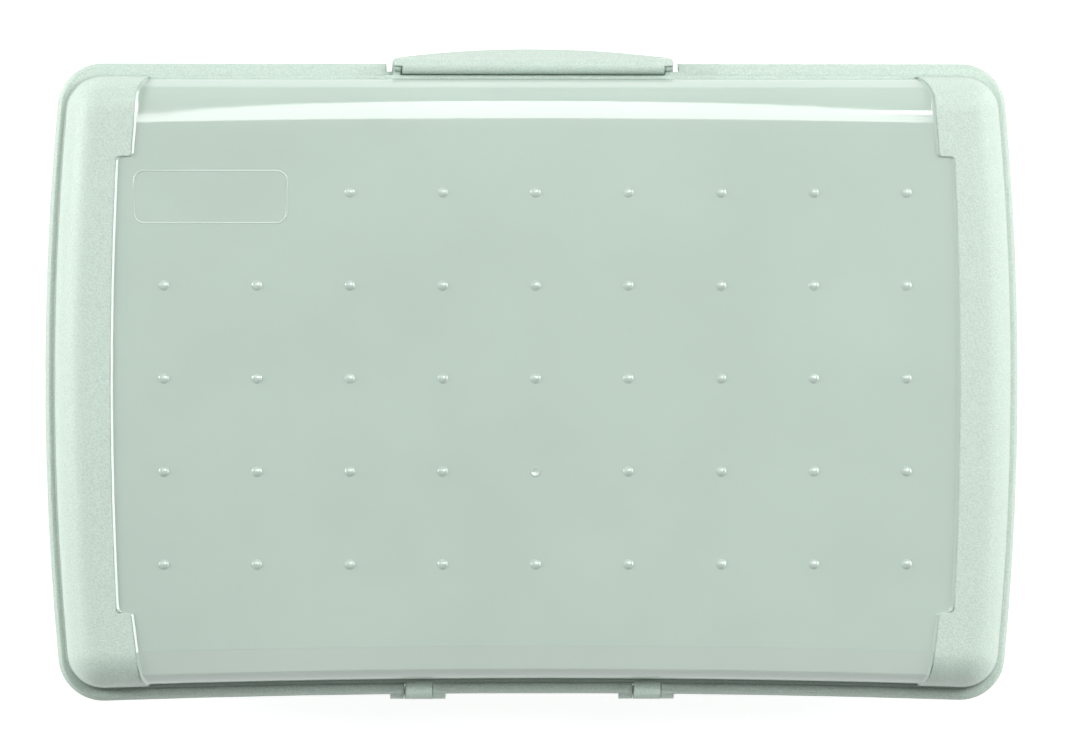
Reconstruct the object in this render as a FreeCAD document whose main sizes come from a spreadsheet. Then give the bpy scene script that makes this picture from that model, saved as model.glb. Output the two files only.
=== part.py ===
import FreeCAD, Part
import Sketcher
import math
import os

V3 = FreeCAD.Vector
START, END, CENTRE = range(1, 4)

# Driving sizes in millimetres. The photo gives the plan, and typical boxes of this kind the heights.
SIZES = [
    ("case_length", 294.0, "rim, end to end"),
    ("case_width", 190.0, "rim, latch side to hinge side, at the middle"),
    ("end_bow_radius", 900.0, "outward bow of the short sides"),
    ("rear_bow_radius", 3900.0, "inward bow of the hinge side"),
    ("corner_radius", 13.5, "rim corners in plan"),
    ("rim_height", 33.0, "top of the base's flange above the table"),
    ("lid_height", 14.6, "lid from its lower edge to the end bands"),
    ("lid_rise", 0.4, "gap between flange and lid, taken up by the seal"),
    ("lid_inset_end", 2.2, "flange seen beside the lid at the short sides"),
    ("lid_inset_side", 3.5, "flange seen beside the lid at the long sides"),
    ("lid_wall", 2.6, "lid wall at the end bands"),
    ("bead_step", 0.5, "how far the lid's lower bead stands out"),
    ("bead_tall", 1.6, "height of that bead"),
    ("shoulder_radius", 10.5, "roll-over from the lid's top to its side"),
    ("space_bevel", 5.0, "bevel inside that shoulder"),
    ("panel_recess", 0.6, "panel below the end bands"),
    ("panel_thick", 0.8, "gloss panel"),
    ("band_wide", 18.8, "rim's end to the panel at the middle"),
    ("panel_bow_radius", 1320.0, "bow of the panel's ends"),
    ("notch_front", 28.2, "latch side of the rim to its notches"),
    ("notch_rear", 24.5, "hinge side of the rim to its notches"),
    ("notch_fillet", 1.2, "radius of the notch corners"),
    ("panel_corner", 8.0, "panel corners in plan"),
    ("band_corner", 25.0, "rim's end to the panel just beyond the notches"),
    ("panel_lean_front", 2.0, "how far the panel's ends close in from there to the latch side"),
    ("panel_lean_rear", 2.9, "how far they close in to the hinge side"),
    ("panel_over_front", 0.6, "panel plan beyond the lid's latch side"),
    ("panel_over_rear", 2.6, "panel plan beyond the lid's hinge side"),
    ("panel_gap", 0.05, "clearance round the panel"),
    ("bump_pitch", 28.0, "grid of the domes on the panel"),
    ("bump_radius", 1.6, "dome, drawn as a low stud of few faces"),
    ("bump_tall", 0.6, "dome height"),
    ("bump_sink", 0.3, "how far a dome reaches into the panel"),
    ("gate_radius", 1.5, "flat moulding mark"),
    ("gate_tall", 0.25, "height of that mark"),
    ("label_length", 46.0, "bare label field"),
    ("label_width", 15.7, "bare label field"),
    ("label_x", -98.0, "centre of the label field"),
    ("label_y", 54.65, "centre of the label field"),
    ("label_corner", 3.0, "corners of the label field"),
    ("label_line", 0.5, "width of its raised line"),
    ("label_tall", 0.2, "height of its raised line"),
    ("flange_thick", 2.6, "base flange"),
    ("flange_edge", 1.0, "bevel on the flange's outer edge"),
    ("skirt_tall", 5.0, "turned-down edge of the flange"),
    ("skirt_wall", 1.8, "turned-down edge of the flange"),
    ("tub_wall", 2.0, "base wall"),
    ("tub_floor", 2.2, "base floor"),
    ("tub_inset_end", 5.6, "base wall inside the rim at the short sides"),
    ("tub_inset_side", 6.8, "base wall inside the rim at the long sides"),
    ("tub_draft", 5.0, "lean of the base wall in degrees"),
    ("tub_lean", 2.9, "how far that brings its foot inward"),
    ("tub_corner", 13.0, "base corners in plan"),
    ("tub_foot_radius", 7.0, "outer lower edge of the base"),
    ("well_bevel", 4.0, "bevel round the floor of the well"),
    ("seal_width", 2.5, "gasket"),
    ("seal_depth", 1.4, "gasket groove in the flange"),
    ("seal_proud", 0.2, "gasket above the flange"),
    ("seal_fit", 0.05, "clearance of the gasket in its groove"),
    ("seal_start", 0.45, "groove inside the lid's edge"),
    ("latch_half", 42.3, "latch half length"),
    ("latch_side_gap", 1.8, "flange notch beyond each end of the latch"),
    ("latch_notch_in", 2.4, "depth of the flange notch"),
    ("latch_axis_in", 0.8, "latch pin inside the rim's edge"),
    ("latch_axis_up", 2.8, "latch pin above the flange"),
    ("latch_barrel", 2.45, "latch barrel radius"),
    ("latch_pin_radius", 0.8, "steel pin of the latch"),
    ("latch_lens_radius", 315.0, "outer edge of the latch in plan"),
    ("latch_over", 4.5, "latch beyond the rim's edge at the middle"),
    ("latch_end_radius", 1.8, "latch corners in plan"),
    ("latch_lug_wide", 2.4, "lid lugs that hold the ends of the latch pin"),
    ("latch_lug_radius", 1.5, "those lugs, under the hooded ends of the latch"),
    ("latch_arm_down", 0.75, "top of a lug's arm below the latch pin"),
    ("latch_drop", 9.5, "latch below the flange's top"),
    ("lip_thick", 1.8, "finger lip"),
    ("hook_gap", 0.3, "latch hook below the flange"),
    ("hook_reach", 1.4, "latch hook under the flange"),
    ("hook_thick", 1.8, "latch hook"),
    ("pin_radius", 1.0, "steel pins of the hinges"),
    ("pin_fit", 0.05, "running clearance on a pin"),
    ("lug_gap", 0.3, "clearance between lugs"),
    ("hinge_x", 34.5, "hinges from the middle"),
    ("hinge_axis_in", 0.4, "hinge pins inside the rim's edge"),
    ("hinge_axis_down", 3.2, "hinge pins below the flange"),
    ("hinge_barrel", 2.1, "hinge knuckle radius"),
    ("hinge_lug_wide", 8.0, "lid knuckle"),
    ("hinge_ear_wide", 4.0, "base knuckle"),
    ("sponge_clear", 3.4, "sponge from the bevelled foot of the well"),
    ("sponge_tall", 11.0, "sponge"),
    ("sponge_corner", 10.0, "sponge corners"),
    ("sponge_gap", 0.05, "sponge above the floor"),
    ("paper_margin", 3.0, "sponge seen round the paper"),
    ("paper_thick", 0.2, "palette paper"),
    ("paper_corner", 8.0, "palette paper corners"),
]
S = {name: value for name, value, _ in SIZES}

doc = FreeCAD.newDocument("hinged_palette_box")
sheet = doc.addObject("Spreadsheet::Sheet", "Sizes")
for row, (name, value, note) in enumerate(SIZES, start=1):
    sheet.set(f"A{row}", name)
    sheet.set(f"B{row}", str(value))
    sheet.set(f"C{row}", note)
    sheet.setAlias(f"B{row}", name)
doc.recompute()


def terms(expr):
    """A plain sum of sizes as signed terms."""
    found, sign = [], 1
    for word in expr.split():
        if word in "+-":
            sign = 1 if word == "+" else -1
        else:
            found.append((sign, word))
            sign = 1
    return found


def text(parts):
    return " ".join(("+ " if sign > 0 else "- ") + word for sign, word in parts)


def less(one, other):
    """The sum one less the sum other."""
    return text(terms(one) + [(-sign, word) for sign, word in terms(other)])


def half(expr):
    return text([(sign, word + "*0.5") for sign, word in terms(expr)])


def val(expr):
    """The value of a sum of sizes, for a first drawing; the bindings then hold it."""
    total = 0.0
    for sign, word in terms(expr):
        product = float(sign)
        for factor in word.split("*"):
            product *= S[factor] if factor in S else float(factor)
        total += product
    return total


def cell(expr):
    """The same sum written for a binding."""
    return "0 " + text([(sign, "*".join(f"Sizes.{f}" if f in S else f for f in word.split("*")))
                        for sign, word in terms(expr)])


def bind(obj, prop, expr):
    obj.setExpression(prop, cell(expr))


def new_body(name):
    return doc.addObject("PartDesign::Body", name)


def new_sketch(body, name, plane="XY", lift="0"):
    sketch = body.newObject("Sketcher::SketchObject", name)
    origin = {"XY": "XY_Plane", "YZ": "YZ_Plane", "XZ": "XZ_Plane"}[plane]
    support = [o for o in body.Origin.OriginFeatures if origin in o.Name][0]
    sketch.AttachmentSupport = [(support, "")]
    sketch.MapMode = "FlatFace"
    sketch.AttachmentOffset = FreeCAD.Placement(V3(0, 0, val(lift)), FreeCAD.Rotation())
    bind(sketch, "AttachmentOffset.Base.z", lift)
    return sketch


def arc(centre, radius, a, b):
    """The arc from point a counterclockwise to point b."""
    def angle(p):
        return math.atan2(p[1] - centre[1], p[0] - centre[0])
    first, last = angle(a), angle(b)
    if last < first:
        last += 2 * math.pi
    circle = Part.Circle(V3(centre[0], centre[1], 0), V3(0, 0, 1), radius)
    return Part.ArcOfCircle(circle, first, last)


def hold(sketch, kind, *args, expr=None, name=None):
    index = sketch.addConstraint(Sketcher.Constraint(kind, *args))
    if name:
        sketch.renameConstraint(index, name)
    if expr:
        bind(sketch, f"Constraints[{index}]", expr)
    return index


def meet(c1, r1, c2, r2, side):
    """The meeting point of two circles on the given side in x."""
    dx, dy = c2[0] - c1[0], c2[1] - c1[1]
    gap = math.hypot(dx, dy)
    along = (r1 * r1 - r2 * r2 + gap * gap) / (2 * gap)
    across = math.sqrt(max(r1 * r1 - along * along, 0.0))
    mid = (c1[0] + along * dx / gap, c1[1] + along * dy / gap)
    ends = [(mid[0] + s * across * dy / gap, mid[1] - s * across * dx / gap) for s in (1, -1)]
    return max(ends, key=lambda p: side * p[0])


def toward(a, b, far):
    d = math.hypot(b[0] - a[0], b[1] - a[1])
    return (a[0] + (b[0] - a[0]) * far / d, a[1] + (b[1] - a[1]) * far / d)


def rim_outline(sketch, in_end, in_side, turn_by=None):
    """The rim's plan moved inward: straight latch side, bowed ends, hinge side bowed in, round corners."""
    front_at, turn_by = less("case_width*0.5", in_side), turn_by or less("corner_radius", in_end)
    end_by, rear_by = less("end_bow_radius", in_end), "rear_bow_radius + " + in_side
    long, front = val(less("case_length*0.5", in_end)), val(front_at)
    turn, r_end, r_rear = val(turn_by), val(end_by), val(rear_by)
    rear_c = (0.0, -front - r_rear)
    corners = {}
    for side in (1, -1):
        end_c = (side * (long - r_end), 0.0)
        rise = front - turn
        top = (end_c[0] + side * math.sqrt((r_end - turn) ** 2 - rise ** 2), rise)
        low = meet(end_c, r_end - turn, rear_c, r_rear + turn, side)
        corners[side] = (
            end_c,
            top, (top[0], front), toward(end_c, top, r_end),
            low, toward(end_c, low, r_end), toward(rear_c, low, r_rear),
        )
    (rc, rt, rtf, rte, rl, rle, rlr), (lc, lt, ltf, lte, ll, lle, llr) = corners[1], corners[-1]
    first = sketch.GeometryCount
    sketch.addGeometry([
        Part.LineSegment(V3(rtf[0], rtf[1], 0), V3(ltf[0], ltf[1], 0)),
        arc(lt, turn, ltf, lte),
        arc(lc, r_end, lte, lle),
        arc(ll, turn, lle, llr),
        arc(rear_c, r_rear, rlr, llr),
        arc(rl, turn, rlr, rle),
        arc(rc, r_end, rle, rte),
        arc(rt, turn, rte, rtf),
    ], False)
    line, l_top, l_end, l_low, rear, r_low, r_end_arc, r_top = range(first, first + 8)
    for one, p1, two, p2 in (
        (line, END, l_top, START), (l_top, END, l_end, START), (l_end, END, l_low, START),
        (l_low, END, rear, END), (rear, START, r_low, START), (r_low, END, r_end_arc, START),
        (r_end_arc, END, r_top, START), (r_top, END, line, START),
    ):
        hold(sketch, "Tangent", one, p1, two, p2)
    hold(sketch, "Horizontal", line)
    hold(sketch, "DistanceY", -1, START, line, START, front, expr=front_at)
    hold(sketch, "Radius", l_top, turn, expr=turn_by)
    for other in (l_low, r_low, r_top):
        hold(sketch, "Equal", l_top, other)
    for end in (l_end, r_end_arc):
        hold(sketch, "Radius", end, r_end, expr=end_by)
        hold(sketch, "PointOnObject", end, CENTRE, -1)
    hold(sketch, "DistanceX", -1, START, l_end, CENTRE, r_end - long,
         expr="end_bow_radius - case_length*0.5")
    hold(sketch, "DistanceX", r_end_arc, CENTRE, -1, START, r_end - long,
         expr="end_bow_radius - case_length*0.5")
    hold(sketch, "Radius", rear, r_rear, expr=rear_by)
    hold(sketch, "PointOnObject", rear, CENTRE, -2)
    hold(sketch, "DistanceY", rear, CENTRE, -1, START, front + r_rear,
         expr="case_width*0.5 + rear_bow_radius")


def round_box(sketch, long, wide, turn, at_x="0", at_y="0"):
    """A rectangle with round corners, centred where told."""
    a, b, r = val(long) / 2, val(wide) / 2, val(turn)
    x, y = val(at_x), val(at_y)
    first = sketch.GeometryCount
    sketch.addGeometry([
        Part.LineSegment(V3(x + a - r, y + b, 0), V3(x - a + r, y + b, 0)),
        arc((x - a + r, y + b - r), r, (x - a + r, y + b), (x - a, y + b - r)),
        Part.LineSegment(V3(x - a, y + b - r, 0), V3(x - a, y - b + r, 0)),
        arc((x - a + r, y - b + r), r, (x - a, y - b + r), (x - a + r, y - b)),
        Part.LineSegment(V3(x - a + r, y - b, 0), V3(x + a - r, y - b, 0)),
        arc((x + a - r, y - b + r), r, (x + a - r, y - b), (x + a, y - b + r)),
        Part.LineSegment(V3(x + a, y - b + r, 0), V3(x + a, y + b - r, 0)),
        arc((x + a - r, y + b - r), r, (x + a, y + b - r), (x + a - r, y + b)),
    ], False)
    ids = list(range(first, first + 8))
    for one, two in zip(ids, ids[1:] + ids[:1]):
        hold(sketch, "Tangent", one, END, two, START)
    hold(sketch, "Horizontal", ids[0])
    hold(sketch, "Vertical", ids[2])
    hold(sketch, "Radius", ids[1], r, expr=turn)
    for other in (ids[3], ids[5], ids[7]):
        hold(sketch, "Equal", ids[1], other)
    hold(sketch, "DistanceX", ids[2], START, ids[6], START, 2 * a, expr=long)
    hold(sketch, "DistanceY", ids[4], START, ids[0], START, 2 * b, expr=wide)
    hold(sketch, "DistanceX", -1, START, ids[2], START, x - a, expr=less(at_x, half(long)))
    hold(sketch, "DistanceY", -1, START, ids[4], START, y - b, expr=less(at_y, half(wide)))


def polygon(sketch, points):
    """Straight sides through named points."""
    where = [V3(val(a), val(b), 0) for a, b in points]
    count = len(points)
    sketch.addGeometry([Part.LineSegment(where[i], where[(i + 1) % count]) for i in range(count)], False)
    for i, (a, b) in enumerate(points):
        hold(sketch, "Coincident", i, END, (i + 1) % count, START)
        hold(sketch, "DistanceX", -1, START, i, START, val(a), expr=a)
        hold(sketch, "DistanceY", -1, START, i, START, val(b), expr=b)


def sound(feature):
    """Stops the build at the first feature that fails."""
    shape = feature.Shape
    if shape.isNull() or not shape.isValid() or {"Invalid", "Error"} & set(feature.State):
        raise RuntimeError(feature.Name + " failed")
    return feature


def pad(body, sketch, name, deep, **more):
    feature = body.newObject("PartDesign::Pad", name)
    feature.Profile = sketch
    feature.Length = val(deep)
    bind(feature, "Length", deep)
    for key, value in more.items():
        setattr(feature, key, value)
    doc.recompute()
    return sound(feature)


def pocket(body, sketch, name, deep, **more):
    feature = body.newObject("PartDesign::Pocket", name)
    feature.Profile = sketch
    feature.Length = val(deep)
    bind(feature, "Length", deep)
    for key, value in more.items():
        setattr(feature, key, value)
    before = feature.BaseFeature.Shape.Volume if feature.BaseFeature else 0.0
    doc.recompute()
    if feature.Shape.Volume >= before - 1e-6:
        raise RuntimeError(name + " takes nothing away")
    return sound(feature)


def dress_edges(kind, prop, body, base, name, size, chosen):
    """A fillet or a chamfer on the edges of the feature that the test picks."""
    names = [f"Edge{i}" for i, e in enumerate(base.Shape.Edges, start=1) if chosen(e.BoundBox)]
    if not names:
        raise RuntimeError(name + " finds no edge")
    feature = body.newObject("PartDesign::" + kind, name)
    feature.Base = (base, names)
    setattr(feature, prop, val(size))
    bind(feature, prop, size)
    doc.recompute()
    return sound(feature)


def round_edges(*args):
    return dress_edges("Fillet", "Radius", *args)


def bevel_edges(*args):
    return dress_edges("Chamfer", "Size", *args)


def upright_at(*levels):
    """Picks the tall upright edges at the given places in y."""
    return lambda b: b.ZLength > 5 and b.YLength < 0.02 and any(abs(b.YMin - y) < 0.02 for y in levels)


def at_level(z):
    return lambda b: abs(b.ZMin - z) < 1e-4 and abs(b.ZMax - z) < 1e-4


def cut(name, base, tool):
    made = doc.addObject("Part::Cut", name)
    made.Base, made.Tool = base, tool
    doc.recompute()
    return sound(made)


def fuse(name, shapes):
    made = doc.addObject("Part::MultiFuse", name)
    made.Shapes = shapes
    doc.recompute()
    return sound(made)


def common(name, shapes):
    made = doc.addObject("Part::MultiCommon", name)
    made.Shapes = shapes
    doc.recompute()
    return sound(made)


def rod(name, radius, long, x, y, z):
    """A cylinder along X, centred at x."""
    made = doc.addObject("Part::Cylinder", name)
    made.Radius, made.Height = val(radius), val(long)
    made.Placement = FreeCAD.Placement(V3(val(x) - val(long) / 2, val(y), val(z)),
                                       FreeCAD.Rotation(V3(0, 1, 0), 90))
    bind(made, "Radius", radius)
    bind(made, "Height", long)
    bind(made, "Placement.Base.x", less(x, half(long)))
    bind(made, "Placement.Base.y", y)
    bind(made, "Placement.Base.z", z)
    return made


def slab(name, x, y, z, dx, dy, dz):
    """A box from its low corner."""
    made = doc.addObject("Part::Box", name)
    for prop, expr in (("Length", dx), ("Width", dy), ("Height", dz)):
        setattr(made, prop, val(expr))
        bind(made, prop, expr)
    made.Placement = FreeCAD.Placement(V3(val(x), val(y), val(z)), FreeCAD.Rotation())
    for axis, expr in (("x", x), ("y", y), ("z", z)):
        bind(made, f"Placement.Base.{axis}", expr)
    return made


# Levels and axes used by several pieces
LID_LOW = "rim_height + lid_rise"
LID_TOP = "rim_height + lid_rise + lid_height"
LATCH_Z = "rim_height + latch_axis_up"
HINGE_Z = "rim_height - hinge_axis_down"
HINGE_Y = "hinge_axis_in - case_width*0.5"
LATCH_Y = "case_width*0.5 - latch_axis_in"
LATCH_OUT = "case_width*0.5 + latch_over"
NOTCH_Y = "case_width*0.5 - latch_notch_in"
BORE = "pin_radius + pin_fit"
ARM_LOW = LID_LOW + " + lid_rise*0.25"
LUG_X = "latch_half - latch_lug_wide*0.5"
LUGS = ("left", less("0", LUG_X)), ("right", LUG_X)
HINGES = ("left", "0 - hinge_x"), ("right", "hinge_x")

# Base tray: drafted tub, flange with a turned-down edge, gasket groove, latch notch
base = new_body("base_body")
tub_low = new_sketch(base, "tub_low")
rim_outline(tub_low, "tub_inset_end + tub_lean", "tub_inset_side + tub_lean", "tub_corner")
tub = pad(base, tub_low, "tub", "rim_height - flange_thick*0.5")
bind(tub, "TaperAngle", "-1*tub_draft")
doc.recompute()
sound(tub)
round_edges(base, tub, "tub_foot", "tub_foot_radius", at_level(0.0))

flange_plan = new_sketch(base, "flange_plan", lift="rim_height - flange_thick")
rim_outline(flange_plan, "0", "0")
pad(base, flange_plan, "flange", "flange_thick")
skirt_plan = new_sketch(base, "skirt_plan", lift="rim_height - skirt_tall")
rim_outline(skirt_plan, "0", "0")
rim_outline(skirt_plan, "skirt_wall", "skirt_wall")
skirt = pad(base, skirt_plan, "skirt", "skirt_tall - flange_thick")

bevel_edges(base, skirt, "flange_bevel", "flange_edge", at_level(S["rim_height"]))

groove_plan = new_sketch(base, "groove_plan", lift="rim_height")
for extra in ("seal_start", "seal_start + seal_width"):
    rim_outline(groove_plan, "lid_inset_end + " + extra, "lid_inset_side + " + extra)
pocket(base, groove_plan, "groove", "seal_depth")

well = new_body("well_body")
well_low = new_sketch(well, "well_low", lift="tub_floor")
rim_outline(well_low, "tub_inset_end + tub_lean + tub_wall", "tub_inset_side + tub_lean + tub_wall",
            "tub_corner - tub_wall")
well_pad = pad(well, well_low, "well_space", "rim_height")
bind(well_pad, "TaperAngle", "-1*tub_draft")
doc.recompute()
bevel_edges(well, sound(well_pad), "well_foot", "well_bevel", at_level(S["tub_floor"]))

# Latch notch, hinge cut-outs and hinge knuckles of the base
notch = slab("latch_notch", "0 - latch_half - latch_side_gap", NOTCH_Y, "rim_height - 2*skirt_tall",
             "2*latch_half + 2*latch_side_gap", "4*lid_inset_side", "4*skirt_tall")
ears, slots, bores, hinge_pins = [], [], [], []
for side, x in HINGES:
    wide = "hinge_lug_wide + 2*hinge_ear_wide + 2*lug_gap"
    ears.append(rod(f"hinge_ears_{side}", "hinge_barrel", wide, x, HINGE_Y, HINGE_Z))
    slot_wide = "hinge_lug_wide + 2*lug_gap"
    slots.append(slab(f"hinge_slot_{side}", less(x, half(slot_wide)), HINGE_Y + " - 4*hinge_barrel",
                      "rim_height - 2*skirt_tall", slot_wide, "5*hinge_barrel + lug_gap", "4*skirt_tall"))
    bores.append(rod(f"hinge_bore_{side}", BORE, wide + " + 2*hinge_ear_wide", x, HINGE_Y, HINGE_Z))
    pin = rod(f"pin_{side}", "pin_radius", wide, x, HINGE_Y, HINGE_Z)
    hinge_pins.append(pin)
doc.recompute()
base_whole = fuse("base_with_ears", [base] + ears)
base_hollow = cut("base_hollow", base_whole, well)
base_notched = cut("base_notched", base_hollow, notch)
base_tray = cut("base_tray", base_notched, fuse("hinge_spaces", slots + bores))

# Gasket in the flange's groove
seal = new_body("seal_body")
seal_plan = new_sketch(seal, "seal_plan", lift="rim_height - seal_depth + seal_fit")
rim_outline(seal_plan, "lid_inset_end + seal_start + seal_fit", "lid_inset_side + seal_start + seal_fit")
inner = "seal_start + seal_width - seal_fit"
rim_outline(seal_plan, "lid_inset_end + " + inner, "lid_inset_side + " + inner)
pad(seal, seal_plan, "seal_ring", "seal_depth - seal_fit + seal_proud")


# Lid: nested domes of one form, each the outer skin moved inward by a depth
def dome(name, depth, bevel=None):
    body = new_body(name)
    plan = new_sketch(body, name + "_plan", lift=LID_LOW if depth == "0" else "rim_height")
    rim_outline(plan, "lid_inset_end + bead_step + " + depth, "lid_inset_side + bead_step + " + depth)
    tall = "lid_height" if depth == "0" else less("lid_rise + lid_height", depth)
    block = pad(body, plan, name + "_block", tall)
    shoulder = body, block, name + "_shoulder"
    top = at_level(val(LID_TOP) - val(depth))
    if bevel:
        bevel_edges(*shoulder, bevel, top)
    else:
        round_edges(*shoulder, less("shoulder_radius", depth), top)
    return body


skin = dome("lid_skin", "0")
panel_face = dome("panel_face", "panel_recess")
panel_bed = dome("panel_bed", "panel_recess + panel_thick")
lid_space = dome("lid_space", "lid_wall", bevel="space_bevel")

bead = new_body("lid_bead")
bead_plan = new_sketch(bead, "bead_plan", lift=LID_LOW)
rim_outline(bead_plan, "lid_inset_end", "lid_inset_side")
pad(bead, bead_plan, "bead_block", "bead_tall")


def panel_prism(name, gap):
    """The panel's plan, bowed ends with stepped notches, carried up through the lid."""
    body = new_body(name)
    low, tall = LID_LOW + " + bead_tall", "2*lid_height"
    ends = new_sketch(body, name + "_ends", lift=low)
    front_at, rear_at = f"case_width*0.5 - notch_front - {gap}", f"case_width*0.5 - notch_rear - {gap}"
    bow_at = "panel_bow_radius - case_length*0.5 + band_wide"
    r = val(less("panel_bow_radius", gap))
    long, front, rear = r - val(bow_at), val(front_at), val(rear_at)
    corners = [(s * (long - r + math.sqrt(r * r - y * y)), y) for s, y in
               ((1, front), (-1, front), (-1, -rear), (1, -rear))]
    (rf, lf, lr, rr) = corners
    ends.addGeometry([
        Part.LineSegment(V3(rf[0], rf[1], 0), V3(lf[0], lf[1], 0)),
        arc((r - long, 0), r, lf, lr),
        Part.LineSegment(V3(lr[0], lr[1], 0), V3(rr[0], rr[1], 0)),
        arc((long - r, 0), r, rr, rf),
    ], False)
    for one in range(4):
        hold(ends, "Coincident", one, END, (one + 1) % 4, START)
    hold(ends, "Horizontal", 0)
    hold(ends, "Horizontal", 2)
    hold(ends, "DistanceY", -1, START, 0, START, front, expr=front_at)
    hold(ends, "DistanceY", 2, START, -1, START, rear, expr=rear_at)
    for end in (1, 3):
        hold(ends, "Radius", end, r, expr=less("panel_bow_radius", gap))
        hold(ends, "PointOnObject", end, CENTRE, -1)
    hold(ends, "DistanceX", -1, START, 1, CENTRE, r - long, expr=bow_at)
    hold(ends, "DistanceX", 3, CENTRE, -1, START, r - long, expr=bow_at)
    pad(body, ends, name + "_middle", tall)
    across = new_sketch(body, name + "_across", lift=low)
    side_at = f"case_length*0.5 - band_corner - {gap}"
    lid_side = "case_width*0.5 - lid_inset_side - bead_step"
    front_edge, rear_edge = f"{lid_side} + panel_over_front - {gap}", f"{lid_side} + panel_over_rear - {gap}"
    half_plan = [(side_at + " - panel_lean_rear", less("0", rear_edge)), (side_at, less("0", rear_at)),
                 (side_at, front_at), (side_at + " - panel_lean_front", front_edge)]
    polygon(across, half_plan + [(less("0", x), y) for x, y in reversed(half_plan)])
    whole = pad(body, across, name + "_whole", tall)
    notched = round_edges(body, whole, name + "_notches", "notch_fillet", upright_at(front, -rear))
    round_edges(body, notched, name + "_corners", less("panel_corner", gap),
                upright_at(val(front_edge), -val(rear_edge)))
    return body


recess = cut("panel_recess_space", panel_prism("recess_prism", "0"), panel_bed)
panel_plan = panel_prism("panel_plan", "panel_gap")
panel_sheet = cut("panel_sheet", common("panel_block", [panel_plan, panel_face]), panel_bed)

# Domes, the flat moulding mark and the bare label field on the panel
PANEL_TOP = LID_TOP + " - panel_recess"
trims = []
for column in range(-4, 5):
    for row in range(-2, 3):
        if row == 2 and column < -2 or (column, row) == (0, -1):
            continue
        bump = doc.addObject("Part::Prism", f"bump_{column + 4}_{row + 2}")
        bump.Polygon = 12
        bind(bump, "Circumradius", "bump_radius")
        bind(bump, "Height", "bump_tall + bump_sink")
        bind(bump, "Placement.Base.x", f"{column}*bump_pitch")
        bind(bump, "Placement.Base.y", f"{row}*bump_pitch")
        bind(bump, "Placement.Base.z", PANEL_TOP + " - bump_sink")
        trims.append(bump)
gate = doc.addObject("Part::Cylinder", "gate_mark")
bind(gate, "Radius", "gate_radius")
bind(gate, "Height", "gate_tall + bump_sink")
bind(gate, "Placement.Base.y", "-1*bump_pitch")
bind(gate, "Placement.Base.z", PANEL_TOP + " - bump_sink")
label = new_body("label_field")
label_plan = new_sketch(label, "label_plan", lift=PANEL_TOP + " - bump_sink")
round_box(label_plan, "label_length", "label_width", "label_corner", "label_x", "label_y")
round_box(label_plan, "label_length - 2*label_line", "label_width - 2*label_line",
          "label_corner - label_line", "label_x", "label_y")
pad(label, label_plan, "label_ring", "label_tall + bump_sink")
doc.recompute()
lid_panel = fuse("lid_panel", [panel_sheet, gate, label] + trims)

# Lid shell with its hinge knuckles and the lugs for the latch
lugs = []
for side, x in HINGES:
    edge = less(x, "hinge_lug_wide*0.5")
    lugs += [
        rod(f"hinge_knuckle_{side}", "hinge_barrel", "hinge_lug_wide", x, HINGE_Y, HINGE_Z),
        rod(f"hinge_elbow_{side}", "hinge_barrel", "hinge_lug_wide", x, HINGE_Y, ARM_LOW),
        slab(f"hinge_link_{side}", edge, HINGE_Y + " - hinge_barrel", HINGE_Z, "hinge_lug_wide",
             "2*hinge_barrel", less(ARM_LOW, HINGE_Z)),
        slab(f"hinge_tab_{side}", edge, HINGE_Y, LID_LOW, "hinge_lug_wide",
             "lid_inset_side + lid_wall - hinge_axis_in", "lid_rise*0.25 + hinge_barrel"),
    ]
for side, x in LUGS:
    wall = "case_width*0.5 - lid_inset_side - bead_step - lid_wall*0.5"
    lugs += [
        rod(f"latch_lug_{side}", "latch_lug_radius", "latch_lug_wide", x, LATCH_Y, LATCH_Z),
        slab(f"latch_arm_{side}", less(x, "latch_lug_wide*0.5"), wall, ARM_LOW, "latch_lug_wide",
             less(LATCH_Y + " - lug_gap", wall), less(LATCH_Z + " - latch_arm_down", ARM_LOW)),
    ]
latch_bore = rod("latch_bore", "latch_pin_radius + pin_fit", "3*latch_half", "0", LATCH_Y, LATCH_Z)
lid_bores = [rod(f"knuckle_bore_{side}", BORE, "2*hinge_lug_wide", x, HINGE_Y, HINGE_Z)
             for side, x in HINGES]
doc.recompute()
lid_block = fuse("lid_block", [skin, bead] + lugs)
lid_hollow = cut("lid_hollow", lid_block, lid_space)
lid_bedded = cut("lid_bedded", lid_hollow, recess)
lid_shell = cut("lid_shell", lid_bedded, fuse("lid_bores", lid_bores + [latch_bore]))


# Latch: barrel on its pin with hooded ends, plate, hook under the flange and a finger lip
HOOK_TOP = "rim_height - flange_thick - hook_gap"
PLATE_IN = NOTCH_Y + " + lug_gap + hook_gap*0.5"
PLATE_OUT = LATCH_Y + " + latch_barrel"
LIP_LOW = "rim_height - latch_drop"
latch_plate = new_body("latch_plate")
latch_side = new_sketch(latch_plate, "latch_side", plane="YZ")
polygon(latch_side, [
    (PLATE_IN, LATCH_Z),
    (PLATE_IN, HOOK_TOP),
    (NOTCH_Y + " - hook_reach", HOOK_TOP),
    (NOTCH_Y + " - hook_reach", HOOK_TOP + " - hook_thick"),
    (PLATE_IN + " + hook_thick", HOOK_TOP + " - hook_thick"),
    (LATCH_OUT + " - lip_thick", LIP_LOW),
    (LATCH_OUT + " + lip_thick", LIP_LOW),
    (LATCH_OUT + " + lip_thick*0.25", LIP_LOW + " + lip_thick"),
    (PLATE_OUT, "rim_height - lip_thick*0.5"),
    (PLATE_OUT, LATCH_Z),
])
pad(latch_plate, latch_side, "latch_length", "2*latch_half", Midplane=True)
latch_lens = new_body("latch_lens")
lens_plan = new_sketch(latch_lens, "lens_plan", lift="rim_height - 2*latch_drop")
lens_r, lens_x = S["latch_lens_radius"], S["latch_half"]
lens_c = val(LATCH_OUT) - lens_r
lens_low = val(NOTCH_Y + " - 4*hook_reach")
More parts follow.
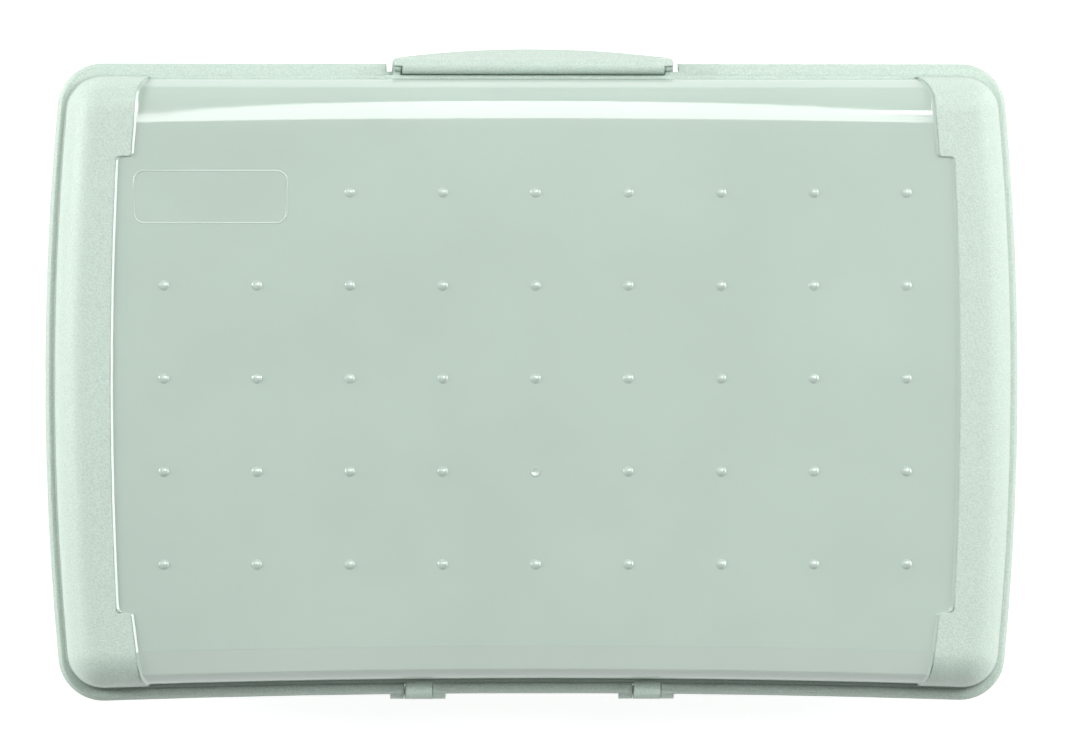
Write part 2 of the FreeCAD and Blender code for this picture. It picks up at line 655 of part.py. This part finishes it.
lens_end = lens_c + math.sqrt(lens_r ** 2 - lens_x ** 2)
lens_plan.addGeometry([
    arc((0, lens_c), lens_r, (lens_x, lens_end), (-lens_x, lens_end)),
    Part.LineSegment(V3(-lens_x, lens_end, 0), V3(-lens_x, lens_low, 0)),
    Part.LineSegment(V3(-lens_x, lens_low, 0), V3(lens_x, lens_low, 0)),
    Part.LineSegment(V3(lens_x, lens_low, 0), V3(lens_x, lens_end, 0)),
], False)
for one in range(4):
    hold(lens_plan, "Coincident", one, END, (one + 1) % 4, START)
hold(lens_plan, "Vertical", 1)
hold(lens_plan, "Vertical", 3)
hold(lens_plan, "Horizontal", 2)
hold(lens_plan, "Radius", 0, lens_r, expr="latch_lens_radius")
hold(lens_plan, "PointOnObject", 0, CENTRE, -2)
hold(lens_plan, "DistanceY", 0, CENTRE, -1, START, -lens_c, expr=less("latch_lens_radius", LATCH_OUT))
hold(lens_plan, "DistanceX", -1, START, 3, START, lens_x, expr="latch_half")
hold(lens_plan, "DistanceX", 1, START, -1, START, lens_x, expr="latch_half")
hold(lens_plan, "DistanceY", -1, START, 2, START, lens_low, expr=NOTCH_Y + " - 4*hook_reach")
lens_pad = pad(latch_lens, lens_plan, "lens_block", "4*latch_drop")
round_edges(latch_lens, lens_pad, "lens_ends", "latch_end_radius",
            lambda b: b.ZLength > 5 and b.YMin > val(LATCH_Y) and b.YLength < 0.02)
latch_barrel = rod("latch_barrel_rod", "latch_barrel", "2*latch_half", "0", LATCH_Y, LATCH_Z)
gaps = []
for side, x in LUGS:
    gap_wide = "latch_lug_wide + 2*lug_gap"
    gaps += [
        rod(f"latch_gap_{side}", "latch_lug_radius + lug_gap", gap_wide, x, LATCH_Y, LATCH_Z),
        slab(f"latch_slot_{side}", less(x, half(gap_wide)), LATCH_Y + " - 2*latch_barrel",
             ARM_LOW + " - lug_gap", gap_wide, "2*latch_barrel", "4*latch_barrel"),
    ]
latch_rod = rod("latch_pin", "latch_pin_radius", "2*latch_half - 2*latch_pin_radius", "0", LATCH_Y, LATCH_Z)
doc.recompute()
latch_form = common("latch_form", [fuse("latch_blank", [latch_plate, latch_barrel]), latch_lens])
latch = cut("latch", latch_form, fuse("latch_spaces", gaps + [latch_bore]))


def block(name, long, wide, turn, low, tall):
    body = new_body(name)
    plan = new_sketch(body, name + "_plan", lift=low)
    round_box(plan, long, wide, turn)
    pad(body, plan, name + "_block", tall)
    return body


SPONGE_LOW = "tub_floor + sponge_gap"
foot = "2*tub_lean - 2*tub_wall - 2*well_bevel - 2*sponge_clear"
sponge_long = "case_length - 2*tub_inset_end - " + foot
sponge_wide = "case_width - 2*tub_inset_side - " + foot
sponge = block("sponge", sponge_long, sponge_wide, "sponge_corner", SPONGE_LOW, "sponge_tall")
paper = block("palette_paper", sponge_long + " - 2*paper_margin", sponge_wide + " - 2*paper_margin",
              "paper_corner", SPONGE_LOW + " + sponge_tall", "paper_thick")

NODES = {
    "base_tray": base_tray,
    "rim_seal": seal,
    "lid_shell": lid_shell,
    "lid_panel": lid_panel,
    "latch": latch,
    "latch_pin": latch_rod,
    "hinge_pin_left": hinge_pins[0],
    "hinge_pin_right": hinge_pins[1],
    "sponge": sponge,
    "palette_paper": paper,
}
doc.recompute()
for made in doc.Objects:
    if {"Invalid", "Error"} & set(made.State):
        raise RuntimeError(made.Name + " failed")
    if hasattr(made, "Shape") and (made.Shape.isNull() or not made.Shape.isValid()):
        if not made.TypeId.startswith("App::"):
            raise RuntimeError(made.Name + " has no sound shape")
os.makedirs("parts", exist_ok=True)
for node, made in NODES.items():
    if len(made.Shape.Solids) != 1:
        raise RuntimeError(f"{node} has {len(made.Shape.Solids)} solids")
    made.Shape.exportStep(f"parts/{node}.step")
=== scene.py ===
"""A closed wet palette box from above: satin lid, gloss panel, rim flange, latch and two hinges."""
import math

import bpy
import bmesh
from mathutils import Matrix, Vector, noise


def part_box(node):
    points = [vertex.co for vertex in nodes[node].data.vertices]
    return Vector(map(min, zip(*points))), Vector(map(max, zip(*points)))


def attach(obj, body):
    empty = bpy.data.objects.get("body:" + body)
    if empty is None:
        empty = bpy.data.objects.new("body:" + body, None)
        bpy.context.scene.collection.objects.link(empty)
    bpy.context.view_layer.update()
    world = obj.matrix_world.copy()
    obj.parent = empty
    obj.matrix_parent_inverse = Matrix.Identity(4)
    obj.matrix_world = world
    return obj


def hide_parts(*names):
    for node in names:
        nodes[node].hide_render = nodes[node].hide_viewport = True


MM = 0.001
QUARTER = math.pi / 2
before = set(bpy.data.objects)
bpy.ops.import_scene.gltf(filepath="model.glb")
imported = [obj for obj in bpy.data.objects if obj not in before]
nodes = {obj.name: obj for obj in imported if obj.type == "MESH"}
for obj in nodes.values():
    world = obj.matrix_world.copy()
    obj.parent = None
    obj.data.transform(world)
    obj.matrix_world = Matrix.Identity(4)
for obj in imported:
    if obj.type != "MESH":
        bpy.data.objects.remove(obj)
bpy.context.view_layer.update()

# Sizes shared with the solids, in millimetres
LID_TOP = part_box("lid_shell")[1][2] / MM
SHOULDER = 10.5                           # roll-over radius of the lid's skin
RECESS = 0.6                              # panel below the end bands
LID_SIDE = 91.0                           # lid skin from the middle, at the long sides
REAR_BOW = 3904.0                         # radius of the hinge side's inward bow
PANEL_HALF, PANEL_BOW = 128.15, 1320.0    # panel's half length, and the radius of its bowed ends
CORNER_HALF, CORNER = 121.95, 8.0         # its half length just beyond the notches, and its corner radius
NOTCH_FRONT, NOTCH_REAR = 66.75, -70.45   # its notches, on the latch side and the hinge side
NOTCH_ROUND = 1.2
PANEL_FRONT, PANEL_REAR = 91.55, -93.55   # long sides of its plan
LEAN_FRONT, LEAN_REAR = 2.0, 2.9          # how far its ends close in from the notches to there
PANEL_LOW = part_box("lid_panel")[0][2] / MM
PANEL_TOP = LID_TOP - RECESS
TURN_Y, TURN_Z = LID_SIDE - SHOULDER, LID_TOP - SHOULDER    # centre of the roll-over
TURN_RADIUS = SHOULDER - RECESS
PITCH = 28.0                              # grid of the domes
BUMP_RADIUS, BUMP_TALL = 1.6, 0.6
LABEL = (-98.0, 54.65, 46.0, 15.7, 3.0)   # centre, length, width, corner radius

# Sizes of the forms that only the scene has, in millimetres
EASE_MID, EASE_ENDS = 2.2, 1.6            # early start of the latch side's roll-over, and more at the ends
FACET = math.radians(18)                  # slope of the flat part of the hinge side's roll-over
FACET_RUN, FACET_OUT = 7.1, 0.5           # its run, and how far its end stands off the roll-over
BOW_START, BOW_RUN = 40, 35               # where the flat part takes on the rear bow, and over what length
EDGE_RISE, EDGE_RUN = 0.55, 0.95          # the panel's ends slope up to the end bands
EDGE_REST = 0.25                          # level strip before that slope
SINK = 0.02                               # how far trim reaches into the panel
DOME_SKIRT = 0.25                         # sunk border round a dome
LINE_WIDE, LINE_TALL = 0.6, 0.12          # raised line of the label field
PANEL_SKIN, SHEET_SKIN = 0.25, 0.1        # thickness given to the panel and to the sheet
GATE = (1.6, -SINK), (1.5, 0.14), (1.25, 0.2), (1.1, 0.08), (0.02, 0.08)    # moulding mark: radius, height

# Rows and columns of the panel's mesh
COLUMNS = 180
WALL_ROWS, TURN_ROWS, FOOT_ROWS = 3, 36, 15
FLAT_STEP, FLAT_MARGIN = 1.5, 1.0
NOTCH_CLEAR, NOTCH_STEP, NOTCH_STEPS, NOTCH_HAIR = 1.8, 0.1, 13, 0.01      # close rows at the notches
CREASE = 0.15                             # gap between the last flat row and the facet
FACET_SHARES = 0.0, 0.03, 0.5, 0.97, 1.0  # close at both ends, so that its edges stay crisp
SLOPE = (0.0, 0.0), (0.08, 0.03), (0.16, 0.12), (0.84, 0.88), (0.92, 0.97), (1.0, 1.0)    # run and rise
END_TRIES = 3                             # a bowed row finds its end in a few tries


# Materials
def principled(name, colour, rough, **more):
    mat = bpy.data.materials.new(name)
    mat.use_nodes = True
    shader = mat.node_tree.nodes["Principled BSDF"]
    shader.inputs["Base Color"].default_value = (*colour, 1.0)
    shader.inputs["Roughness"].default_value = rough
    for key, value in more.items():
        shader.inputs[key.replace("_", " ")].default_value = value
    return mat, mat.node_tree, shader


def texture(tree, kind, size):
    """A texture of that size in the object's own space."""
    place = tree.nodes.new("ShaderNodeTexCoord")
    made = tree.nodes.new(kind)
    made.inputs["Scale"].default_value = 1.0 / size
    tree.links.new(place.outputs["Object"], made.inputs["Vector"])
    return made


def spots(tree, size, detail=3.0):
    made = texture(tree, "ShaderNodeTexNoise", size)
    made.inputs["Detail"].default_value = detail
    return made.outputs["Fac"]


def grain(tree, shader, height, depth, round_edge=None):
    """Surface grain, and softened edges where a radius is given."""
    bump = tree.nodes.new("ShaderNodeBump")
    bump.inputs["Strength"].default_value = 1.0
    bump.inputs["Distance"].default_value = depth
    tree.links.new(height, bump.inputs["Height"])
    if round_edge:
        soft = tree.nodes.new("ShaderNodeBevel")
        soft.samples = 6
        soft.inputs["Radius"].default_value = round_edge
        tree.links.new(soft.outputs["Normal"], bump.inputs["Normal"])
    tree.links.new(bump.outputs["Normal"], shader.inputs["Normal"])


def shades(tree, shader, source, colour, stops):
    """The colour made darker or lighter: stops pair a value of the texture with a share of the colour."""
    ramp = tree.nodes.new("ShaderNodeValToRGB")
    for stop, (at, share) in zip(ramp.color_ramp.elements, stops):
        stop.position = at
        stop.color = (*(c * share for c in colour), 1.0)
    tree.links.new(source, ramp.inputs["Fac"])
    tree.links.new(ramp.outputs["Color"], shader.inputs["Base Color"])


def mottle(tree, shader, source, colour, spread, low=0.35, high=0.65):
    shades(tree, shader, source, colour, ((low, 1 - spread), (high, 1 + spread)))


def satin_plastic():
    colour = (0.50, 0.605, 0.535)
    mat, tree, shader = principled("satin plastic", colour, rough=0.42, Specular_IOR_Level=0.45)
    fine = spots(tree, size=0.45 * MM, detail=1.0)
    mottle(tree, shader, fine, colour, spread=0.1, low=0.3, high=0.7)
    grain(tree, shader, fine, depth=0.14 * MM, round_edge=0.8 * MM)
    return mat


def gloss_plastic():
    colour = (0.475, 0.575, 0.51)
    mat, tree, shader = principled("gloss plastic", colour, rough=0.06, Specular_IOR_Level=1.0)
    mottle(tree, shader, spots(tree, size=45 * MM), colour, spread=0.02)
    grain(tree, shader, spots(tree, size=9 * MM, detail=1.0), depth=0.012 * MM)
    return mat


def soft_seal():
    colour = (0.70, 0.72, 0.69)
    mat, tree, shader = principled("seal", colour, rough=0.6)
    fine = spots(tree, size=1.2 * MM)
    mottle(tree, shader, fine, colour, spread=0.03)
    grain(tree, shader, fine, depth=0.05 * MM)
    return mat


def pin_steel():
    mat, tree, shader = principled("pin steel", (0.6, 0.6, 0.61), rough=0.3, Metallic=1.0)
    grain(tree, shader, spots(tree, size=0.4 * MM), depth=0.01 * MM)
    return mat


def damp_foam():
    colour = (0.80, 0.62, 0.22)
    mat, tree, shader = principled("foam", colour, rough=0.85)
    pores = texture(tree, "ShaderNodeTexVoronoi", size=1.7 * MM).outputs["Distance"]
    # Painted shade: the colour darkens to about half in the low pits of the pores, where shade would fall
    shades(tree, shader, pores, colour, ((0.12, 0.55), (0.5, 1.0)))
    grain(tree, shader, pores, depth=0.5 * MM)
    return mat


def damp_paper():
    colour = (0.83, 0.80, 0.72)
    mat, tree, shader = principled("paper", colour, rough=0.5)
    mottle(tree, shader, spots(tree, size=22 * MM), colour, spread=0.05)
    grain(tree, shader, spots(tree, size=0.7 * MM), depth=0.05 * MM)
    return mat


# CAD nodes that are shown as they are
def dress(obj, mat, weld_gap=0.002 * MM, sharp=math.radians(32)):
    """A material and smooth faces, with the edges kept sharp."""
    obj.data.materials.clear()
    obj.data.materials.append(mat)
    obj.data.polygons.foreach_set("use_smooth", [True] * len(obj.data.polygons))
    obj.modifiers.new("weld", "WELD").merge_threshold = weld_gap
    obj.modifiers.new("edges", "EDGE_SPLIT").split_angle = sharp
    obj.modifiers.new("normals", "WEIGHTED_NORMAL").keep_sharp = True


satin, steel = satin_plastic(), pin_steel()
for name in ("base_tray", "lid_shell", "latch"):
    dress(nodes[name], satin)
for name in ("latch_pin", "hinge_pin_left", "hinge_pin_right"):
    dress(nodes[name], steel)
dress(nodes["rim_seal"], soft_seal())


# Helpers for the scene's own meshes, in millimetres
def bridge(bm, one, two, around=False, flip=False):
    """Faces between two rows of points; around joins the last to the first, flip turns the faces over."""
    count = len(one)
    for i in range(count if around else count - 1):
        j = (i + 1) % count
        if flip:
            bm.faces.new((one[i], two[i], two[j], one[j]))
        else:
            bm.faces.new((one[i], one[j], two[j], two[i]))


def round_rect(cx, cy, long, wide, r, per_corner=10):
    points = []
    for sx, sy, start in ((1, 1, 0), (-1, 1, 90), (-1, -1, 180), (1, -1, 270)):
        for k in range(per_corner + 1):
            a = math.radians(start + 90 * k / per_corner)
            points.append((cx + sx * (long / 2 - r) + r * math.cos(a),
                           cy + sy * (wide / 2 - r) + r * math.sin(a)))
    return points


def node_box(node):
    low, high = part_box(node)
    return [v / MM for v in low], [v / MM for v in high]


def add(name, bm, mat, body):
    """A finished mesh, brought to metres, as a piece of that body."""
    bmesh.ops.scale(bm, vec=(MM, MM, MM), verts=bm.verts)
    mesh = bpy.data.meshes.new(name)
    bm.to_mesh(mesh)
    bm.free()
    mesh.materials.append(mat)
    mesh.polygons.foreach_set("use_smooth", [True] * len(mesh.polygons))
    obj = bpy.data.objects.new(name, mesh)
    bpy.context.scene.collection.objects.link(obj)
    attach(obj, body)
    return obj


def thicken(obj, thick, offset):
    """Thickness in millimetres; an offset of -1 keeps the outer face in place."""
    skin = obj.modifiers.new("thickness", "SOLIDIFY")
    skin.thickness = thick * MM
    skin.offset = offset


# Gloss panel
def rear_bow(x):
    return REAR_BOW - math.sqrt(REAR_BOW ** 2 - x * x)


def early_start(x):
    return EASE_MID + EASE_ENDS * (x / PANEL_HALF) ** 2


def row_y(x, y, bowed, early):
    """A row's y at x, moved by its shares of the rear bow and of the early start."""
    return y - bowed * rear_bow(x) - early * early_start(x)


def panel_end(y):
    """Half length of the panel at y: bowed between its notches, closing in beyond them."""
    bow = PANEL_HALF - PANEL_BOW + math.sqrt(PANEL_BOW ** 2 - y * y)
    front, rear = (NOTCH_FRONT, PANEL_FRONT, LEAN_FRONT), (NOTCH_REAR, PANEL_REAR, LEAN_REAR)
    r = NOTCH_ROUND
    for step, edge, lean in (front, rear):
        way = math.copysign(1, edge)
        slope = lean / abs(edge - step)
        past = (y - step) * way
        side = CORNER_HALF - slope * past
        if past > r:
            into = (y - edge) * way + CORNER
            if into > 0:
                centre = side + slope * into - CORNER * math.hypot(1, slope)
                side = min(side, centre + math.sqrt(max(CORNER ** 2 - into ** 2, 0)))
            return side
        if past > 0:
            return side + r - math.sqrt(max(r * r - (r - past) ** 2, 0))
        if past > -r:
            return bow - r + math.sqrt(max(r * r - (past + r) ** 2, 0))
    return bow


# A row of the panel is y, z, tilt, and its shares of the rear bow and of the early start
def wall_levels():
    return [PANEL_LOW + (TURN_Z - PANEL_LOW) * i / WALL_ROWS for i in range(WALL_ROWS)]


def front_rows():
    """Latch side, from its foot up to the flat part."""
    rows = [(TURN_Y + TURN_RADIUS, z, QUARTER, 0.0, 0.0) for z in wall_levels()]
    for k in range(TURN_ROWS + 1):
        a = QUARTER * (1 - k / TURN_ROWS)
        rows.append((TURN_Y + TURN_RADIUS * math.sin(a), TURN_Z + TURN_RADIUS * math.cos(a), a, 0.0,
                     (1 - a / QUARTER) ** 2))
    return rows


def flat_rows():
    """Flat part, with close rows at the notches."""
    first, last = TURN_Y - EASE_MID - EASE_ENDS - FLAT_MARGIN, FLAT_MARGIN - TURN_Y
    places = [first - i * FLAT_STEP for i in range(int((first - last) / FLAT_STEP))]
    for notch in (NOTCH_FRONT, NOTCH_REAR):
        places = [y for y in places if abs(y - notch) > NOTCH_CLEAR]
        places += [notch + i * NOTCH_STEP for i in range(-NOTCH_STEPS, NOTCH_STEPS + 1) if i]
        places += [notch - NOTCH_HAIR, notch + NOTCH_HAIR]
    rows = []
    for y in sorted(places, reverse=True):
        share = min(max((-y - BOW_START) / BOW_RUN, 0), 1)
        rows.append((y, PANEL_TOP, 0.0, share * share * (3 - 2 * share), 0.0))
    rows.append((CREASE - TURN_Y, PANEL_TOP, 0.0, 1.0, 0.0))
    return rows


def rear_rows():
    """Hinge side, from its facet down to its foot."""
    rows = []
    for share in FACET_SHARES:
        run = FACET_RUN * share
        rows.append((-TURN_Y - run, PANEL_TOP - run * math.tan(FACET), -FACET, 1.0, 0.0))
    begin = math.atan2(FACET_RUN, TURN_RADIUS - FACET_RUN * math.tan(FACET))
    for k in range(1, FOOT_ROWS + 1):
        a = begin + (QUARTER - begin) * k / FOOT_ROWS
        out = TURN_RADIUS + FACET_OUT * (QUARTER - a) / (QUARTER - begin)
        rows.append((-TURN_Y - out * math.sin(a), TURN_Z + out * math.cos(a), -a, 1.0, 0.0))
    rows += [(-TURN_Y - TURN_RADIUS, z, -QUARTER, 1.0, 0.0) for z in reversed(wall_levels())]
    return rows


def panel_mesh():
    bm = bmesh.new()
    lines = []
    for y, z, tilt, *shares in front_rows() + flat_rows() + rear_rows():
        end = panel_end(y)
        for _ in range(END_TRIES):
            end = panel_end(row_y(end, y, *shares))
        inner = end - EDGE_RUN
        rest = inner - EDGE_REST
        places = [(-inner - run * EDGE_RUN, rise * EDGE_RISE) for run, rise in reversed(SLOPE)]
        places += [(rest * (2 * i / COLUMNS - 1), 0.0) for i in range(COLUMNS + 1)]
        places += [(inner + run * EDGE_RUN, rise * EDGE_RISE) for run, rise in SLOPE]
        line = []
        for x, lift in places:
            at = row_y(x, y, *shares) + lift * math.sin(tilt)
            line.append(bm.verts.new((x, at, z + lift * math.cos(tilt))))
        lines.append(line)
    for one, two in zip(lines, lines[1:]):
        bridge(bm, one, two, flip=True)
    return bm


def turned(bm, x, y, z, profile, around=28):
    """A small turned form: (radius, height) pairs from the outside in, closed at the middle."""
    turns = [2 * math.pi * k / around for k in range(around)]
    rings = [[bm.verts.new((x + r * math.cos(a), y + r * math.sin(a), z + up)) for a in turns]
             for r, up in profile]
    for one, two in zip(rings, rings[1:]):
        bridge(bm, one, two, around=True)
    bm.faces.new(rings[-1])


def dome_profile(steps=9):
    """A spherical cap with a sunk border."""
    cap = (BUMP_RADIUS ** 2 + BUMP_TALL ** 2) / (2 * BUMP_TALL)
    rim = math.asin(BUMP_RADIUS / cap)
    turns = [rim * k / steps for k in range(steps, 0, -1)]
    crown = [(cap * math.sin(a), cap * (math.cos(a) - math.cos(rim))) for a in turns]
    return [(BUMP_RADIUS + DOME_SKIRT, -SINK)] + crown


def band_line(bm, points, z, wide, tall, steps=6):
    """A low half-round line along a closed row of points."""
    turns = [math.pi * k / steps for k in range(steps + 1)]
    rows = []
    for i, (x, y) in enumerate(points):
        ahead, behind = points[(i + 1) % len(points)], points[i - 1]
        way = Vector((ahead[0] - behind[0], ahead[1] - behind[1])).normalized()
        side = Vector((way.y, -way.x))
        rows.append([bm.verts.new((x + side.x * wide / 2 * math.cos(a), y + side.y * wide / 2 * math.cos(a),
                                   z + tall * math.sin(a))) for a in turns])
    for one, two in zip(rows, rows[1:] + rows[:1]):
        bridge(bm, one, two, flip=True)


def add_domes(bm):
    """The grid of domes: the label field takes the place of two, and the flat moulding mark of one."""
    dome = dome_profile()
    for column in range(-4, 5):
        for row in range(-2, 3):
            if row == 2 and column < -2:
                continue
            profile = GATE if (column, row) == (0, -1) else dome
            turned(bm, column * PITCH, row * PITCH, PANEL_TOP, profile)


bm = panel_mesh()
add_domes(bm)
band_line(bm, round_rect(*LABEL), PANEL_TOP - SINK, LINE_WIDE, LINE_TALL)
panel = add("gloss_panel", bm, gloss_plastic(), "lid")
thicken(panel, PANEL_SKIN, offset=-1.0)
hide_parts("lid_panel")


# Sponge with an uneven surface
def loop_round(cx, cy, long, wide, r, along=64, down=38, per_corner=8):
    """A round-cornered outline with even steps on its straight sides."""
    corners = round_rect(cx, cy, long, wide, r, per_corner)
    points = []
    for k in range(4):
        turn = corners[k * (per_corner + 1):(k + 1) * (per_corner + 1)]
        after = corners[(k + 1) * (per_corner + 1) % len(corners)]
        steps = along if k % 2 == 0 else down
        points += turn
        for i in range(1, steps):
            points.append(tuple(a + (b - a) * i / steps for a, b in zip(turn[-1], after)))
    return points


SPONGE_EDGE, SOFT_SHARE = 2.2, 0.3        # rounding of its edges, and where their middle loop lies
SPONGE_CORNER, LEAST_CORNER = 10.0, 2.0   # corners in plan, at the outside and at the least
CORNER_LOSS = 0.5                         # what a loop's corners lose for each millimetre inward
SPONGE_INSETS = 4, 6, 9, 13, 18, 25, 35, 50, 65    # loops on its top, from the edge inward
PIT_SIZE, PIT_DEEP = 3.1, 0.18            # size and mean depth of its pits


def sponge_mesh():
    """A slab with soft edges and an uneven open-cell surface."""
    low, high = node_box("sponge")
    foot, top = low[2], high[2]
    cx, cy = (low[0] + high[0]) / 2, (low[1] + high[1]) / 2
    long, wide = high[0] - low[0], high[1] - low[1]
    edge, soft = SPONGE_EDGE, SPONGE_EDGE * SOFT_SHARE
    levels = [(edge, foot), (soft, foot + soft), (0, foot + edge)]
    levels += [(0, foot + edge + (top - foot - 2 * edge) * k / 3) for k in (1, 2)]
    levels += [(0, top - edge), (soft, top - soft), (edge, top)]
    levels += [(inset, top) for inset in SPONGE_INSETS]
    bm = bmesh.new()
    rings = []
    for inset, z in levels:
        ring = []
        r = max(SPONGE_CORNER - inset * CORNER_LOSS, LEAST_CORNER)
        for x, y in loop_round(cx, cy, long - 2 * inset, wide - 2 * inset, r):
            pit = PIT_DEEP * (1 + noise.noise(Vector((x / PIT_SIZE, y / PIT_SIZE, z / PIT_SIZE))))
            toward = Vector((cx - x, cy - y, 0)).normalized()
            down = pit if z > foot + edge else 0
            ring.append(bm.verts.new((x + toward.x * pit, y + toward.y * pit, z - down)))
        rings.append(ring)
    for one, two in zip(rings, rings[1:]):
        bridge(bm, one, two, around=True)
    bm.faces.new(list(reversed(rings[0])))
    bm.faces.new(rings[-1])
    return bm


sponge = add("damp_sponge", sponge_mesh(), damp_foam(), "base")
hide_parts("sponge")

# Sheet with slight waves
SHEET_STEP = 3.0
SHEET_LIFT, WAVE_TALL = 0.12, 0.7         # lowest point over the solid's foot, and height of the waves
WAVE_LONG, WAVE_WIDE = 55, 38
WAVE_PLACE = 0.3                          # where in the noise the waves lie


def sheet_mesh():
    low, high = node_box("palette_paper")
    across, down = (int((high[k] - low[k]) / SHEET_STEP) for k in (0, 1))
    bm = bmesh.new()
    lines = []
    for j in range(down + 1):
        line = []
        for i in range(across + 1):
            x = low[0] + (high[0] - low[0]) * i / across
            y = low[1] + (high[1] - low[1]) * j / down
            wave = 0.5 + 0.5 * noise.noise(Vector((x / WAVE_LONG, y / WAVE_WIDE, WAVE_PLACE)))
            line.append(bm.verts.new((x, y, low[2] + SHEET_LIFT + WAVE_TALL * wave)))
        lines.append(line)
    for one, two in zip(lines, lines[1:]):
        bridge(bm, one, two)
    return bm


paper = add("palette_sheet", sheet_mesh(), damp_paper(), "base")
thicken(paper, SHEET_SKIN, offset=0.0)
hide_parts("palette_paper")


# Floor and key lamp, in metres
def stage_mesh(name, bm, colour, glow):
    mesh = bpy.data.meshes.new(name)
    bm.to_mesh(mesh)
    bm.free()
    mat, _, _ = principled(name, colour, rough=0.9, Specular_IOR_Level=0.1,
                           Emission_Color=(1, 1, 1, 1), Emission_Strength=glow)
    mesh.materials.append(mat)
    obj = bpy.data.objects.new(name, mesh)
    bpy.context.scene.collection.objects.link(obj)
    return obj


FLOOR_HALF, FLOOR_GLOW = 4.0, 0.85
FLOOR_COLOUR, KEY_COLOUR = (0.4, 0.4, 0.4), (0, 0, 0)
KEY_FAR, KEY_GLOW = 1.4, 4.6              # the lamp that draws the strip on the front shoulder
KEY_LOW, KEY_HIGH = math.radians(5), math.radians(44)     # its edges, from straight above
KEY_WIDE, KEY_SHIFT = 0.31, 0.08


def half_round(wide, tall, steps=48):
    """A lamp's face with a straight lower edge and a half-round top, about its middle."""
    bm = bmesh.new()
    turns = [math.pi * k / steps for k in range(steps + 1)]
    bm.faces.new([bm.verts.new((wide / 2 * math.cos(a), tall * (math.sin(a) - 0.5), 0)) for a in turns])
    return bm


bm = bmesh.new()
bmesh.ops.create_grid(bm, x_segments=1, y_segments=1, size=FLOOR_HALF)
stage_mesh("floor", bm, FLOOR_COLOUR, FLOOR_GLOW)
key_mid = (KEY_LOW + KEY_HIGH) / 2
key_tall = 2 * KEY_FAR * math.tan(KEY_HIGH - key_mid)
key = stage_mesh("key lamp", half_round(KEY_WIDE, key_tall), KEY_COLOUR, KEY_GLOW)
key.location = (KEY_SHIFT, KEY_FAR * math.sin(key_mid), KEY_FAR * math.cos(key_mid))
key.rotation_euler = (-key_mid, 0, 0)

# Other lamps: name, place and size in metres, watts
LAMPS = (
    ("right softbox", (0.6, 0.5, 1.25), (0.7, 0.7), 11.5),
    ("left softbox", (-0.45, 0.5, 1.25), (0.5, 0.5), 3.0),
    ("low left softbox", (-1.45, 0.4, 0.45), (0.6, 0.5), 19.0),
    ("low right softbox", (1.5, 0.25, 0.56), (1.1, 0.6), 10.5),
    ("front right softbox", (1.4, 0.75, 0.45), (0.6, 0.5), 4.0),
    ("low rear softbox", (0.0, -1.6, 0.3), (1.6, 0.4), 3.5),
    ("rear strip", (0.08, -0.82, 1.13), (0.75, 0.2), 0.5),
)
LAMP_AIM = Vector((0, 0, 0.03))
WORLD_GLOW = 0.05


def area_light(name, place, size, power):
    lamp = bpy.data.lights.new(name, "AREA")
    lamp.shape = "RECTANGLE"
    lamp.size, lamp.size_y = size
    lamp.energy = power
    obj = bpy.data.objects.new(name, lamp)
    obj.location = place
    obj.rotation_euler = (LAMP_AIM - Vector(place)).to_track_quat("-Z", "Y").to_euler()
    bpy.context.scene.collection.objects.link(obj)


for lamp in LAMPS:
    area_light(*lamp)
world = bpy.data.worlds.new("studio")
world.use_nodes = True
backdrop = world.node_tree.nodes["Background"]
backdrop.inputs["Color"].default_value = (1, 1, 1, 1)
backdrop.inputs["Strength"].default_value = WORLD_GLOW
bpy.context.scene.world = world
bpy.context.scene.view_settings.view_transform = "Standard"

# Camera
PHOTO_WIDE = 1069                         # photo width in pixels
MM_PER_PIXEL = 0.30107                    # on the panel's top
FAR = 6.0                                 # camera to its aim, in metres
LEAN = math.radians(3.5)                  # the photo looks a little from the left
AIM = Vector((0.45 * MM, 1.5 * MM, 0.035))
PANEL_ABOVE_AIM = 0.012                   # the panel's top over the aim, rounded
CLIP_END = 20.0
camera = bpy.data.cameras.new("camera")
camera.sensor_width = 36.0
camera.lens = camera.sensor_width * (FAR - PANEL_ABOVE_AIM) / (PHOTO_WIDE * MM_PER_PIXEL * MM)
camera.clip_end = CLIP_END
eye = bpy.data.objects.new("camera", camera)
eye.location = AIM + FAR * Vector((-math.sin(LEAN), 0, math.cos(LEAN)))
eye.rotation_euler = (0, -LEAN, 0)
bpy.context.scene.collection.objects.link(eye)
bpy.context.scene.camera = eye
